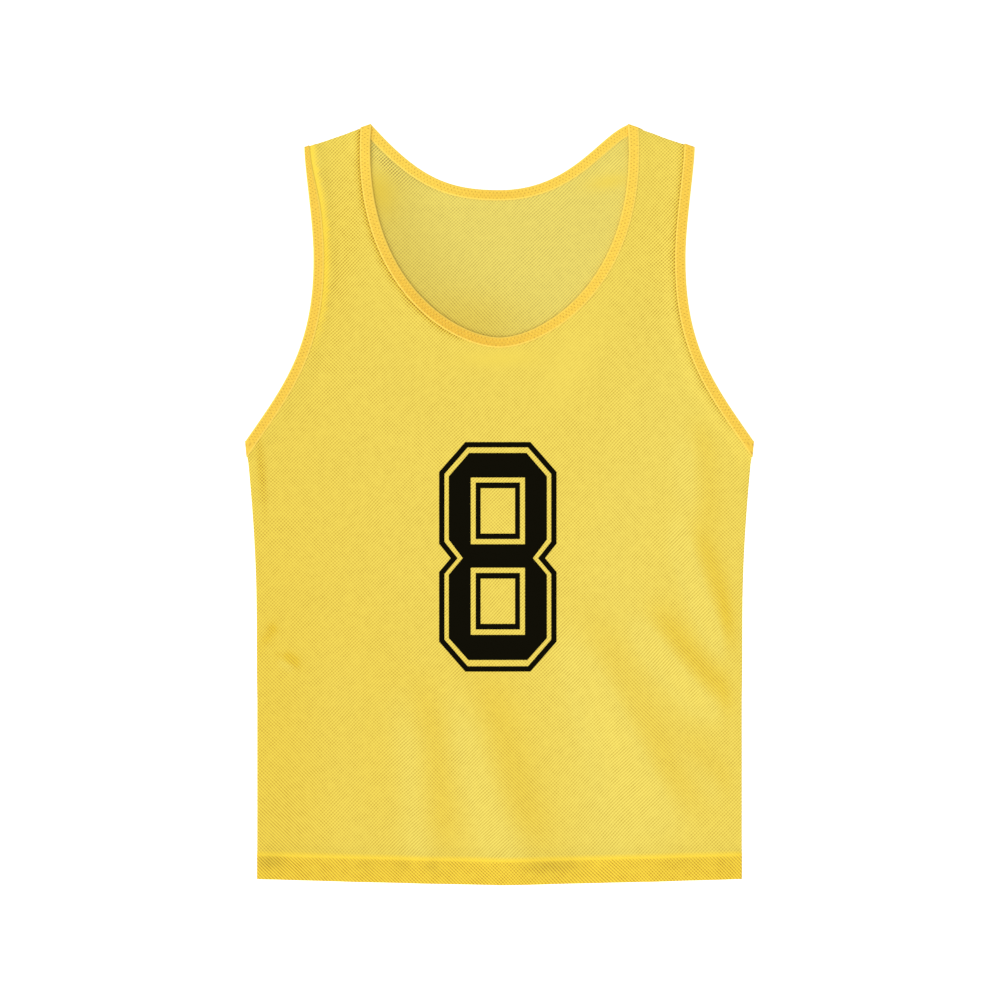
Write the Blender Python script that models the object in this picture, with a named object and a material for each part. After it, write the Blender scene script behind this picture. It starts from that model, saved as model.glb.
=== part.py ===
"""A mesh training bib, a sleeveless sports top that lies flat on its back.

Seen from above, +Y runs up to the collar and +X is the wearer's left. The origin is under the
middle of the bib, on the surface it lies on. Sizes are in millimetres, and cloth() turns them
to metres.
"""
import bmesh
import bpy
import numpy as np
from mathutils.geometry import delaunay_2d_cdt

for leftover in list(bpy.data.objects):
    bpy.data.objects.remove(leftover, do_unlink=True)

# The garment's sizes
LENGTH = 685.0
CHEST_WIDTH = 456.0
HEM_WIDTH = 436.0
HEM_DIP = 5.5
NECK_WIDTH = 230.0
SHOULDER_WIDTH = 351.0
SHOULDER_DROP = 21.0
FRONT_NECK_DROP = 191.0
BACK_NECK_DROP = 58.5
ARMHOLE_DROP = 284.0
CROSS_CHEST = 336.0
CROSS_CHEST_DROP = 119.0
HIP_DROP = 517.0

# The cloth's sizes
WALL = 1.0
GAP = 0.3
LAYER = WALL + GAP
BINDING_WIDTH = 9.5
HEM_DEPTH = 20.5

# Where a panel comes off a strip that lifts it: the ramp's length, which is shorter within
# SEAM_ZONE of a seam, and how far past the back neck's binding the front stays up to cross it
RAMP = 12.0
SEAM_RAMP = 4.0
SEAM_ZONE = 6.0
CROSSING = 8.0

# The folds fade out this far from the bound edges and from the seams
CALM_EDGE = 45.0
CALM_SEAM = 30.0

# The mesh's spacing in the panels, and along the bindings
SPACING = 16.0
BINDING_STEP = 11.5
CREASE_ANGLE = 40

# A bound edge folds round the panel's raw edge, and a hem round the gap above its turn-up
BINDING_BEND = WALL / 2 + GAP + WALL
HEM_BEND = GAP / 2 + WALL

TOP = LENGTH / 2 - LAYER
BOTTOM = HEM_BEND - LENGTH / 2
NECK_POINT = (NECK_WIDTH / 2, TOP)
SHOULDER_TIP = (SHOULDER_WIDTH / 2, TOP - SHOULDER_DROP)
CROSS_POINT = (CROSS_CHEST / 2, TOP - CROSS_CHEST_DROP)
UNDERARM = (CHEST_WIDTH / 2, TOP - ARMHOLE_DROP)
HIP = (HEM_WIDTH / 2, TOP - HIP_DROP)
HEM_CORNER = (HEM_WIDTH / 2, BOTTOM + HEM_DIP)
HEM_CENTRE = (0.0, BOTTOM)
FRONT_NECK = (0.0, TOP - FRONT_NECK_DROP)
BACK_NECK = (0.0, TOP - BACK_NECK_DROP)

# The soft folds of the front, all ridges: the middle of each, the way it runs, its length and
# width, how high it stands, and how far its middle bows to its left
FOLD_COLUMNS = ("x", "y", "turn", "length", "width", "height", "bow")
FOLDS = (
    (17, -240, 97, 230, 15, 2.9, 6),
    (-61, -268, 98, 150, 13, 2.0, -4),
    (-112, -215, 92, 300, 34, 1.4, 10),
    (189, -76, -63, 125, 10, 2.8, -5),
    (174, -139, -44, 135, 11, 2.6, -6),
    (128, -190, -61, 230, 15, 2.3, -8),
    (184, -238, -42, 90, 9, 1.7, 0),
    (181, 20, 95, 130, 11, 1.3, 3),
)


def curve(start, pull_start, pull_end, end, step):
    """Points about a step apart on a Bezier curve, its two pulls given from its ends."""
    start, end = np.array(start), np.array(end)
    handles = [start, start + pull_start, end + pull_end, end]
    count = max(2, round(np.linalg.norm(np.diff(handles, axis=0), axis=1).sum() / step))
    t = np.linspace(0, 1, count + 1)[:, None]
    shares = ((1 - t) ** 3, 3 * t * (1 - t) ** 2, 3 * t**2 * (1 - t), t**3)
    return sum(share * handle for share, handle in zip(shares, handles))


def mirrored(points):
    """The same line on the other half, in the opposite order."""
    return (points * (-1, 1))[::-1]


def joined(*runs):
    """One line from several that meet end to end, with each meeting point once."""
    return np.vstack([runs[0]] + [run[1:] for run in runs[1:]])


def distance(points, line):
    """How far each point is from a line of points."""
    steps = np.diff(line, axis=0)
    offsets = points[:, None] - line[:-1]
    along = np.clip((offsets * steps).sum(2) / (steps**2).sum(1), 0, 1)
    return np.linalg.norm(offsets - along[..., None] * steps, axis=2).min(axis=1)


def smooth(share):
    """A share from 0 to 1, eased at both ends."""
    share = np.clip(share, 0, 1)
    return share * share * (3 - 2 * share)


def unit(vector):
    return vector / np.linalg.norm(vector)


class Edge:
    """An edge's line, with the way in to the cloth at each point, and runs past its ends.

    The cloth lies on the line's left. The way in is square to the line, and along the seam
    that meets the line at each end, so a point that lies some way in stays on that seam.
    """

    def __init__(self, points, seams):
        self.points = points
        tangents = np.gradient(points, axis=0)
        tangents /= np.linalg.norm(tangents, axis=1)[:, None]
        self.inward = np.column_stack((-tangents[:, 1], tangents[:, 0]))
        for place, seam in zip((0, -1), seams):
            self.inward[place] = unit(seam) / (unit(seam) @ self.inward[place])
        past = 2 * BINDING_WIDTH * tangents
        self.line = np.vstack((points[0] - past[0], points, points[-1] + past[-1]))

    def at(self, depth):
        """The points that lie a depth in from the edge."""
        return self.points + depth * self.inward


# The outline's lines, on the wearer's left half, from the hem up round to the neck
LEFT_SIDE = joined(
    curve(HEM_CORNER, (0, 50), (0, -50), HIP, SPACING),
    curve(HIP, (1.5, 71), (-12.7, -125), UNDERARM, SPACING),
)
LEFT_ARMHOLE = joined(
    curve(UNDERARM, (-30.4, 49.5), (0, -81), CROSS_POINT, BINDING_STEP),
    curve(CROSS_POINT, (0, 31), (-0.5, -22), SHOULDER_TIP, BINDING_STEP),
)
FRONT_NECKLINE = joined(
    curve(NECK_POINT, (11.6, -139), (38.5, 0), FRONT_NECK, BINDING_STEP),
    mirrored(curve(NECK_POINT, (11.6, -139), (38.5, 0), FRONT_NECK, BINDING_STEP)),
)
BACK_NECKLINE = joined(
    curve(NECK_POINT, (-24, -10), (68, 0), BACK_NECK, BINDING_STEP),
    mirrored(curve(NECK_POINT, (-24, -10), (68, 0), BACK_NECK, BINDING_STEP)),
)
HEMLINE = joined(
    mirrored(curve(HEM_CENTRE, (61, 0), (-39, -2.4), HEM_CORNER, SPACING)),
    curve(HEM_CENTRE, (61, 0), (-39, -2.4), HEM_CORNER, SPACING),
)

# The seams' ways, from their ends in towards the cloth
LEFT_SHOULDER = np.array((NECK_POINT, SHOULDER_TIP))
SHOULDER_IN = LEFT_SHOULDER[1] - LEFT_SHOULDER[0]
SIDE_DOWN = LEFT_SIDE[-3] - LEFT_SIDE[-1]
FLIP = np.array((-1, 1))

LEFT_ARM = Edge(LEFT_ARMHOLE, (SIDE_DOWN, -SHOULDER_IN))
RIGHT_ARM = Edge(mirrored(LEFT_ARMHOLE), (-SHOULDER_IN * FLIP, SIDE_DOWN * FLIP))
FRONT_NECK_EDGE = Edge(FRONT_NECKLINE, (SHOULDER_IN, SHOULDER_IN * FLIP))
BACK_NECK_EDGE = Edge(BACK_NECKLINE, (SHOULDER_IN, SHOULDER_IN * FLIP))
HEM_EDGE = Edge(HEMLINE, (LEFT_SIDE[1] - LEFT_SIDE[0], LEFT_SIDE[1] - LEFT_SIDE[0]))
SEAMS = [seam * flip for seam in (LEFT_SHOULDER, LEFT_SIDE) for flip in (1, FLIP)]

# The seams between their bound ends
LEFT_FREE_SIDE = np.vstack((LEFT_SIDE[:-2], LEFT_ARM.at(BINDING_WIDTH)[:1]))
LEFT_FREE_SHOULDER = np.array(
    (FRONT_NECK_EDGE.at(BINDING_WIDTH)[0], LEFT_ARM.at(BINDING_WIDTH)[-1])
)
FREE_SEAMS = [seam * flip for seam in (LEFT_FREE_SHOULDER, LEFT_FREE_SIDE) for flip in (1, FLIP)]


def near(points, edges, flat):
    """1 on the flat strip along the edges, easing to 0 on a ramp that is short at a seam."""
    inside = np.min([distance(points, edge.line) for edge in edges], axis=0) - flat
    from_seam = np.min([distance(points, seam) for seam in FREE_SEAMS], axis=0)
    ramp = SEAM_RAMP + (RAMP - SEAM_RAMP) * smooth(from_seam / SEAM_ZONE)
    return smooth(1 - inside / ramp)


def fold_height(points):
    """How high the soft folds lift the front, fading out towards its bound edges."""
    height = np.zeros(len(points))
    for row in FOLDS:
        fold = dict(zip(FOLD_COLUMNS, row))
        turn = np.radians(fold["turn"])
        way = np.array((np.cos(turn), np.sin(turn)))
        offset = points - (fold["x"], fold["y"])
        along = 2 * (offset @ way) / fold["length"]
        across = offset @ (-way[1], way[0]) - fold["bow"] * (1 - along**2)
        fade = smooth(1.5 * (1 - np.abs(along)))
        height += fold["height"] * fade * np.exp(-((across / fold["width"]) ** 2))
    edges = (LEFT_ARM, RIGHT_ARM, FRONT_NECK_EDGE)
    from_edge = np.min([distance(points, edge.line) for edge in edges], axis=0)
    from_seam = np.min([distance(points, seam) for seam in SEAMS], axis=0)
    return height * smooth(from_edge / CALM_EDGE) * smooth(from_seam / CALM_SEAM)


def back_height(points):
    """The back's underside: on the floor, and one layer up where a binding runs below it."""
    return LAYER * near(points, (LEFT_ARM, RIGHT_ARM, BACK_NECK_EDGE), BINDING_WIDTH)


def front_height(points):
    """The front's underside: on the back, its bindings and both turn-ups, with its folds."""
    armholes = near(points, (LEFT_ARM, RIGHT_ARM), BINDING_WIDTH)
    over_back_neck = near(points, (BACK_NECK_EDGE,), BINDING_WIDTH + CROSSING)
    front_neck = near(points, (FRONT_NECK_EDGE,), BINDING_WIDTH)
    hem = near(points, (HEM_EDGE,), HEM_DEPTH)
    layers = 1 + 2 * np.maximum(armholes, over_back_neck) + np.maximum(armholes, front_neck)
    layers += 2 * hem
    return LAYER * layers + fold_height(points)


def raised(points, heights):
    return np.column_stack((points, heights))


def material(name, colour, roughness):
    finish = bpy.data.materials.new(name)
    finish.use_nodes = True
    shader = finish.node_tree.nodes["Principled BSDF"]
    shader.inputs["Base Color"].default_value = (*colour, 1.0)
    shader.inputs["Roughness"].default_value = roughness
    shader.inputs["Metallic"].default_value = 0.0
    return finish


def cloth(name, outer, inner, faces, finish):
    """A closed wall between a sheet's outer and inner points, walled in along its rim."""
    count = len(outer)
    edges = {(a, b) for face in faces for a, b in zip(face, face[1:] + face[:1])}
    rim = [(a, b) for a, b in sorted(edges) if (b, a) not in edges]
    walls = [(b, a, a + count, b + count) for a, b in rim]
    under = [tuple(corner + count for corner in reversed(face)) for face in faces]
    mesh = bpy.data.meshes.new(name)
    points = np.vstack((outer, inner)) / 1000
    mesh.from_pydata(points.tolist(), [], list(faces) + under + walls)
    body = bmesh.new()
    body.from_mesh(mesh)
    bmesh.ops.recalc_face_normals(body, faces=body.faces)
    body.to_mesh(mesh)
    body.free()
    mesh.shade_smooth()
    mesh.set_sharp_from_angle(angle=np.radians(CREASE_ANGLE))
    mesh.materials.append(finish)
    bpy.context.collection.objects.link(bpy.data.objects.new(name, mesh))


def panel_outline(neck_edge):
    """A panel's raw edge, from the hem's right end up its left side and round to the start."""
    ramp_ends = (BINDING_WIDTH + SEAM_RAMP, BINDING_WIDTH)
    hem_ends = [HEM_EDGE.at(depth)[-1] for depth in (HEM_DEPTH, HEM_DEPTH + SEAM_RAMP)]
    side = LEFT_SIDE[(LEFT_SIDE[:, 1] > hem_ends[1][1] + SPACING / 2)]
    side = side[distance(side, LEFT_ARM.points) > SPACING + BINDING_WIDTH]
    underarm = [LEFT_ARM.at(depth)[0] for depth in ramp_ends]
    shoulder = [LEFT_ARM.at(depth)[-1] for depth in ramp_ends[::-1]]
    shoulder += [LEFT_SHOULDER.mean(axis=0)]
    shoulder += [FRONT_NECK_EDGE.at(depth)[0] for depth in ramp_ends]
    up = np.vstack((hem_ends, side, underarm, LEFT_ARM.at(BINDING_BEND), shoulder))
    return np.vstack((HEMLINE, up, neck_edge.at(BINDING_BEND), mirrored(up)))


def triangulated(outline, lines):
    """Fill an outline with triangles that keep to some inner lines, and evenly elsewhere."""
    row_spacing, least_distance = SPACING * np.cos(np.radians(30)), 0.6 * SPACING
    rows = np.arange(outline[:, 1].min(), outline[:, 1].max(), row_spacing)
    columns = np.arange(outline[:, 0].min(), outline[:, 0].max(), SPACING)
    filling = [(x + SPACING / 2 * (i % 2), y) for i, y in enumerate(rows) for x in columns]
    filling = np.array(filling)
    for line in (np.vstack((outline, outline[:1])), *lines):
        filling = filling[distance(filling, line) > least_distance]
    points, edges, kept = [*outline], [], len(outline)
    for line in lines:
        edges += [(kept + i, kept + i + 1) for i in range(len(line) - 1)]
        points += [*line]
        kept += len(line)
    points += [*filling]
    found = delaunay_2d_cdt(
        [tuple(point) for point in points], edges, [list(range(len(outline)))], 1, 1e-4
    )
    order = {old: new for new, olds in enumerate(found[3]) for old in olds}
    return np.array(found[0]), [tuple(face) for face in found[2]], order


def panel(name, neck_edge, height, side, finish):
    """A front (side 1) or back (side -1), with its hem turned up between the two panels."""
    outline = panel_outline(neck_edge)
    bound = (LEFT_ARM, RIGHT_ARM, neck_edge)
    lines = [edge.at(BINDING_WIDTH) for edge in bound]
    lines += [edge.at(BINDING_WIDTH + RAMP)[2:-2] for edge in bound]
    lines += [HEM_EDGE.at(HEM_DEPTH), HEM_EDGE.at(HEM_DEPTH + RAMP)]
    flat, faces, order = triangulated(outline, lines)
    under = height(flat)
    outer = raised(flat, under + WALL * (side > 0))
    inner = raised(flat, under + WALL * (side < 0))

    # The hem: round the bend, along the start of the turn-up, and to its free edge
    count = len(HEMLINE)
    previous = [order[i] for i in range(count)]
    down = -HEM_EDGE.inward
    for depth, angle in ((0, 30), (0, 90), (0, 150), (0, 180), (HEM_DEPTH, 180)):
        out, up = np.sin(np.radians(angle)), side * np.cos(np.radians(angle))
        place = HEM_EDGE.at(depth)
        centre = height(place) + WALL * (side < 0) - side * GAP / 2
        outer_ring = raised(place + out * HEM_BEND * down, centre + up * HEM_BEND)
        inner_ring = raised(place + out * GAP / 2 * down, centre + up * GAP / 2)
        start = len(outer)
        outer, inner = np.vstack((outer, outer_ring)), np.vstack((inner, inner_ring))
        row = list(range(start, start + count))
        faces += [
            (previous[i + 1], previous[i], row[i], row[i + 1]) for i in range(count - 1)
        ]
        previous = row
    cloth(name, outer, inner, faces, finish)


def binding(name, edge, height, side, finish):
    """Half a binding, folded round a panel's raw edge and over the stack at each seam."""
    middle = WALL / 2
    outside, inside = BINDING_BEND, WALL / 2 + GAP
    raw = height(edge.at(BINDING_BEND)) + middle
    free = height(edge.at(BINDING_WIDTH)) + middle
    outer, inner = [], []
    for depth, angle, level in (
        (BINDING_WIDTH, 0, free),
        (BINDING_BEND, 0, raw),
        (BINDING_BEND, 30, raw),
        (BINDING_BEND, 90, raw),
        (BINDING_BEND, 150, raw),
        (BINDING_BEND, 180, raw),
        (BINDING_WIDTH, 180, free),
    ):
        out, up = np.sin(np.radians(angle)), side * np.cos(np.radians(angle))
        outer.append(raised(edge.at(depth - out * outside), level + up * outside))
        inner.append(raised(edge.at(depth - out * inside), level + up * inside))
    rows, stations = len(outer), len(edge.points)
    outer, inner = np.array(outer), np.array(inner)
    faces = [
        (corner, corner + 1, corner + 1 + stations, corner + stations)
        for r in range(rows - 1)
        for corner in range(r * stations, r * stations + stations - 1)
    ]

    # Over the seam at each end, the outer leg's four rows turn down to the middle of the stack
    leg_rows = 4
    stack = LAYER * 6 - GAP
    split = (stack + side * GAP) / 2
    outer, inner = outer.reshape(-1, 3), inner.reshape(-1, 3)
    for end in (0, stations - 1):
        seam = unit(edge.inward[end])
        away = np.array((-seam[1], seam[0]))
        tangent = edge.points[end] - edge.points[1 if end == 0 else stations - 2]
        away *= np.sign(away @ tangent)
        covered = [r * stations + end for r in range(leg_rows)]
        previous = covered
        for turned in (False, True):
            start = len(outer)
            more_outer = outer[covered] + (*(LAYER * away), 0)
            more_inner = inner[covered] + (*(GAP * away), 0)
            if turned:
                more_outer[:, 2] = more_inner[:, 2] = split
            outer, inner = np.vstack((outer, more_outer)), np.vstack((inner, more_inner))
            row = list(range(start, start + leg_rows))
            for r in range(leg_rows - 1):
                face = (previous[r], row[r], row[r + 1], previous[r + 1])
                faces.append(face if end else face[::-1])
            previous = row
    cloth(name, outer, inner, faces, finish)


MESH_KNIT = material("yellow_mesh_knit", (0.82, 0.64, 0.11), 0.75)
BINDING_KNIT = material("yellow_binding_knit", (0.87, 0.60, 0.06), 0.7)

panel("back_panel", BACK_NECK_EDGE, back_height, -1, MESH_KNIT)
panel("front_panel", FRONT_NECK_EDGE, front_height, 1, MESH_KNIT)
for half, height, side, neck_edge in (
    ("back", back_height, -1, BACK_NECK_EDGE),
    ("front", front_height, 1, FRONT_NECK_EDGE),
):
    binding(f"neck_binding_{half}", neck_edge, height, side, BINDING_KNIT)
    binding(f"left_armhole_binding_{half}", LEFT_ARM, height, side, BINDING_KNIT)
    binding(f"right_armhole_binding_{half}", RIGHT_ARM, height, side, BINDING_KNIT)
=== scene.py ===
"""A mesh training bib, laid flat on its back and seen from straight above.

+Y runs up to the collar and +X is the wearer's left. Sizes are in millimetres, and each mesh is
turned to metres as it is made.
"""

import bmesh
import bpy
import numpy as np
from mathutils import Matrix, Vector, noise
from mathutils.geometry import delaunay_2d_cdt


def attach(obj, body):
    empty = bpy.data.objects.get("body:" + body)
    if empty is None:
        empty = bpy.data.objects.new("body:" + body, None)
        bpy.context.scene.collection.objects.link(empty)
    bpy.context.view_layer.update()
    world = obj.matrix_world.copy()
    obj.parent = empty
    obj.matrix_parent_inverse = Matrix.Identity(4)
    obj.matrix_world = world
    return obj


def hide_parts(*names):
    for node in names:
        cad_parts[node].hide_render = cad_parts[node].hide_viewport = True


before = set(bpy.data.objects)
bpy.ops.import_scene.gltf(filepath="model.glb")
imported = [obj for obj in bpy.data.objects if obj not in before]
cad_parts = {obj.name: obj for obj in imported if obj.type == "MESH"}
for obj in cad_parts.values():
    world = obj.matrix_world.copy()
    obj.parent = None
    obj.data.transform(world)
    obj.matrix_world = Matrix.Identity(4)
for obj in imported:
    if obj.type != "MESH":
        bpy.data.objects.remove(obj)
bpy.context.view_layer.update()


# The back: one layer of polyester mesh knit, cut in one piece with the two straps. It lies on
# the table with its inside up, which the deep neck shows. The hem is turned up once.
LENGTH = 685.0
CHEST_WIDTH = 456.0
HEM_WIDTH = 436.0
HEM_DIP = 5.5
NECK_WIDTH = 230.0
SHOULDER_WIDTH = 351.0
SHOULDER_DROP = 21.0
FRONT_NECK_DROP = 191.0
BACK_NECK_DROP = 58.5
ARMHOLE_DROP = 284.0
CROSS_CHEST = 334.6
CROSS_CHEST_DROP = 119.0
HIP_DROP = 517.0
SEAM_INSET = 1.3

KNIT_THICKNESS = 0.6
AIR = 0.2
LAYER = KNIT_THICKNESS + AIR
BINDING_WIDTH = 9.5
BINDING_BEND = KNIT_THICKNESS / 2 + AIR + KNIT_THICKNESS
HEM_DEPTH = 20.5
HEM_BEND = AIR / 2 + KNIT_THICKNESS

PANEL_SPACING = 3.6
SEAM_SPACING = 4.0
BINDING_SPACING = 2.0

TOP = LENGTH / 2 - SEAM_INSET
BOTTOM = HEM_BEND - LENGTH / 2
NECK_POINT = (NECK_WIDTH / 2, TOP)
SHOULDER_TIP = (SHOULDER_WIDTH / 2, TOP - SHOULDER_DROP)
CROSS_POINT = (CROSS_CHEST / 2, TOP - CROSS_CHEST_DROP)
UNDERARM = (CHEST_WIDTH / 2, TOP - ARMHOLE_DROP)
HIP = (HEM_WIDTH / 2, TOP - HIP_DROP)
HEM_CORNER = (HEM_WIDTH / 2, BOTTOM + HEM_DIP)
HEM_CENTRE = (0.0, BOTTOM)
FRONT_NECK = (0.0, TOP - FRONT_NECK_DROP)
BACK_NECK = (0.0, TOP - BACK_NECK_DROP)


def curve(start, pull_start, pull_end, end, step):
    """Points about a step apart on a Bezier curve, its two pulls given from its ends."""
    start, end = np.array(start), np.array(end)
    handles = [start, start + pull_start, end + pull_end, end]
    count = max(2, round(np.linalg.norm(np.diff(handles, axis=0), axis=1).sum() / step))
    t = np.linspace(0, 1, count + 1)[:, None]
    shares = ((1 - t) ** 3, 3 * t * (1 - t) ** 2, 3 * t**2 * (1 - t), t**3)
    return sum(share * handle for share, handle in zip(shares, handles))


def mirrored(points):
    """The same line on the other half, in the opposite order."""
    return (points * (-1, 1))[::-1]


def joined(*runs):
    """One line from several that meet end to end, with each meeting point once."""
    return np.vstack([runs[0]] + [run[1:] for run in runs[1:]])


def nearest(points, line):
    """How far each point is from a line of points, and which step of the line is nearest."""
    steps = np.diff(line, axis=0)
    lengths = (steps**2).sum(1)
    away, step = np.empty(len(points)), np.empty(len(points), int)
    for low in range(0, len(points), 256):
        offset_x, offset_y = (points[low : low + 256, None] - line[:-1]).transpose(2, 0, 1)
        along = np.clip((offset_x * steps[:, 0] + offset_y * steps[:, 1]) / lengths, 0, 1)
        squares = (offset_x - along * steps[:, 0]) ** 2 + (offset_y - along * steps[:, 1]) ** 2
        step[low : low + 256] = squares.argmin(axis=1)
        away[low : low + 256] = np.sqrt(squares.min(axis=1))
    return away, step


def distance(points, *lines):
    """How far each point is from the nearest of some lines."""
    return np.min([nearest(points, line)[0] for line in lines], axis=0)


def smooth(share):
    """A share from 0 to 1, eased at both ends."""
    share = np.clip(share, 0, 1)
    return share * share * (3 - 2 * share)


def bell(offset):
    """1 at no offset, falling smoothly to nearly 0 at two."""
    return np.exp(-(offset**2))


def unit(vector):
    return vector / np.linalg.norm(vector)


class Edge:
    """An edge's line, with the way in to the cloth at each point, and runs past its ends.

    The cloth lies on the line's left. The way in is square to the line, and along the seam
    that meets the line at each end. A binding covers the edge to its width, and pulls a
    groove into the cloth beside it, as deep as its pull.
    """

    def __init__(self, points, seams):
        self.points = points
        tangents = np.gradient(points, axis=0)
        tangents /= np.linalg.norm(tangents, axis=1)[:, None]
        self.inward = np.column_stack((-tangents[:, 1], tangents[:, 0]))
        for place, seam in zip((0, -1), seams):
            self.inward[place] = unit(seam) / (unit(seam) @ self.inward[place])
        past = 2 * BINDING_WIDTH * tangents
        self.line = np.vstack((points[0] - past[0], points, points[-1] + past[-1]))
        steps = np.linalg.norm(np.diff(points, axis=0), axis=1)
        self.run = np.concatenate(([0], np.cumsum(steps)))
        self.width = np.full(len(points), BINDING_WIDTH)
        self.pull = np.zeros(len(points))

    def at(self, depth):
        """The points that lie a depth in from the edge."""
        return self.points + np.reshape(depth, (-1, 1)) * self.inward


LEFT_SIDE = joined(
    curve(HEM_CORNER, (0, 50), (0, -50), HIP, SEAM_SPACING),
    curve(HIP, (1.5, 71), (-12.7, -125), UNDERARM, SEAM_SPACING),
)
LEFT_ARMHOLE = joined(
    curve(UNDERARM, (-33.6, 48.5), (-0.8, -81), CROSS_POINT, BINDING_SPACING),
    curve(CROSS_POINT, (0, 31), (-0.5, -22), SHOULDER_TIP, BINDING_SPACING),
)
LEFT_SHOULDER = curve(SHOULDER_TIP, (-20, 7), (20, -7), NECK_POINT, SEAM_SPACING)
HALF_FRONT_NECK = curve(NECK_POINT, (11.6, -139), (38.5, 0), FRONT_NECK, BINDING_SPACING)
# As it lies, the back's neck sags on the right
LEFT_BACK_NECK = curve(NECK_POINT, (-26, -10), (64, 0), BACK_NECK, BINDING_SPACING)
RIGHT_BACK_NECK = mirrored(curve(NECK_POINT, (-42, -46.2), (48, 0), BACK_NECK, BINDING_SPACING))
HALF_HEM = curve(HEM_CENTRE, (61, 1), (-39, -1.4), HEM_CORNER, PANEL_SPACING)
FLIP = np.array((-1, 1))

shoulder_in = LEFT_SHOULDER[0] - LEFT_SHOULDER[-1]
side_down = LEFT_SIDE[-9] - LEFT_SIDE[-1]
side_up = LEFT_SIDE[1] - LEFT_SIDE[0]
LEFT_ARM = Edge(LEFT_ARMHOLE, (side_down, -shoulder_in))
RIGHT_ARM = Edge(mirrored(LEFT_ARMHOLE), (-shoulder_in * FLIP, side_down * FLIP))
FRONT_NECK_EDGE = Edge(
    joined(HALF_FRONT_NECK, mirrored(HALF_FRONT_NECK)), (shoulder_in, shoulder_in * FLIP)
)
BACK_NECK_EDGE = Edge(
    joined(LEFT_BACK_NECK, RIGHT_BACK_NECK), (shoulder_in, shoulder_in * FLIP)
)
HEM_EDGE = Edge(joined(mirrored(HALF_HEM), HALF_HEM), (side_up, side_up))
LEFT_SIDE_EDGE = Edge(LEFT_SIDE, (HALF_HEM[-2] - HALF_HEM[-1], LEFT_ARMHOLE[1] - UNDERARM))
LEFT_SHOULDER_EDGE = Edge(
    LEFT_SHOULDER, (LEFT_ARMHOLE[-2] - LEFT_ARMHOLE[-1], HALF_FRONT_NECK[1] - NECK_POINT)
)

# Where a binding pulls: at the back neck's right half, all down the left armhole, at the right
# shoulder, and round the front neck's right half. At the right shoulder it is rolled under.
BACK_NECK_EDGE.pull = 0.8 * smooth((-38 - BACK_NECK_EDGE.points[:, 0]) / 40)
LEFT_ARM.pull = 0.7 * smooth(LEFT_ARM.run / 60)
RIGHT_ARM.pull = 0.8 * smooth(1.6 - RIGHT_ARM.run / 45)
RIGHT_ARM.width = BINDING_WIDTH - 4.6 * smooth(1 - RIGHT_ARM.run / 62)
FRONT_NECK_EDGE.pull = smooth((-16 - FRONT_NECK_EDGE.points[:, 0]) / 32)

SEAMS = [seam * flip for seam in (LEFT_SHOULDER, LEFT_SIDE) for flip in (1, FLIP)]
left_free_side = np.vstack((LEFT_SIDE[:-3], LEFT_ARM.at(BINDING_WIDTH)[:1]))
left_free_shoulder = np.array(
    (FRONT_NECK_EDGE.at(BINDING_WIDTH)[0], LEFT_ARM.at(BINDING_WIDTH)[-1])
)
FREE_SEAMS = [seam * flip for seam in (left_free_shoulder, left_free_side) for flip in (1, FLIP)]


def near(points, edges, flat):
    """1 on the flat strip along the edges, easing to 0 on a ramp that is short at a seam."""
    ramp, seam_ramp, seam_zone = 14.0, 4.0, 9.0
    inside = distance(points, *(edge.line for edge in edges)) - flat
    from_seam = distance(points, *FREE_SEAMS)
    return smooth(1 - inside / (seam_ramp + (ramp - seam_ramp) * smooth(from_seam / seam_zone)))


def groove(points, edge):
    """How deep the cloth is pulled down along the free edge of a binding."""
    beside, width, depth = 0.3, 0.75, 0.35
    away, step = nearest(points, edge.at(edge.width + beside))
    return depth * edge.pull[step] * bell(away / width)


def seam_round(points):
    """How far a panel's outer face has turned in at its side and shoulder seams."""
    radius, depth = 1.5, 0.8 * KNIT_THICKNESS
    share = np.clip(1 - distance(points, *SEAMS) / radius, 0, 1)
    return depth * (1 - np.sqrt(1 - share**2))


def ripple(points, scale, height, seed):
    """A faint unevenness of the cloth, never below nothing."""
    spots = np.column_stack((points / scale, np.full(len(points), seed)))
    return height * np.array([1 + noise.noise(tuple(spot)) for spot in spots])


def back_height(points):
    """The back's underside: on the table, and one layer up where a binding runs below it."""
    bound = near(points, (LEFT_ARM, RIGHT_ARM, BACK_NECK_EDGE), BINDING_WIDTH)
    return np.maximum(LAYER * bound - groove(points, BACK_NECK_EDGE), 0)


def raised(points, heights):
    return np.column_stack((points, heights))


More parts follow.
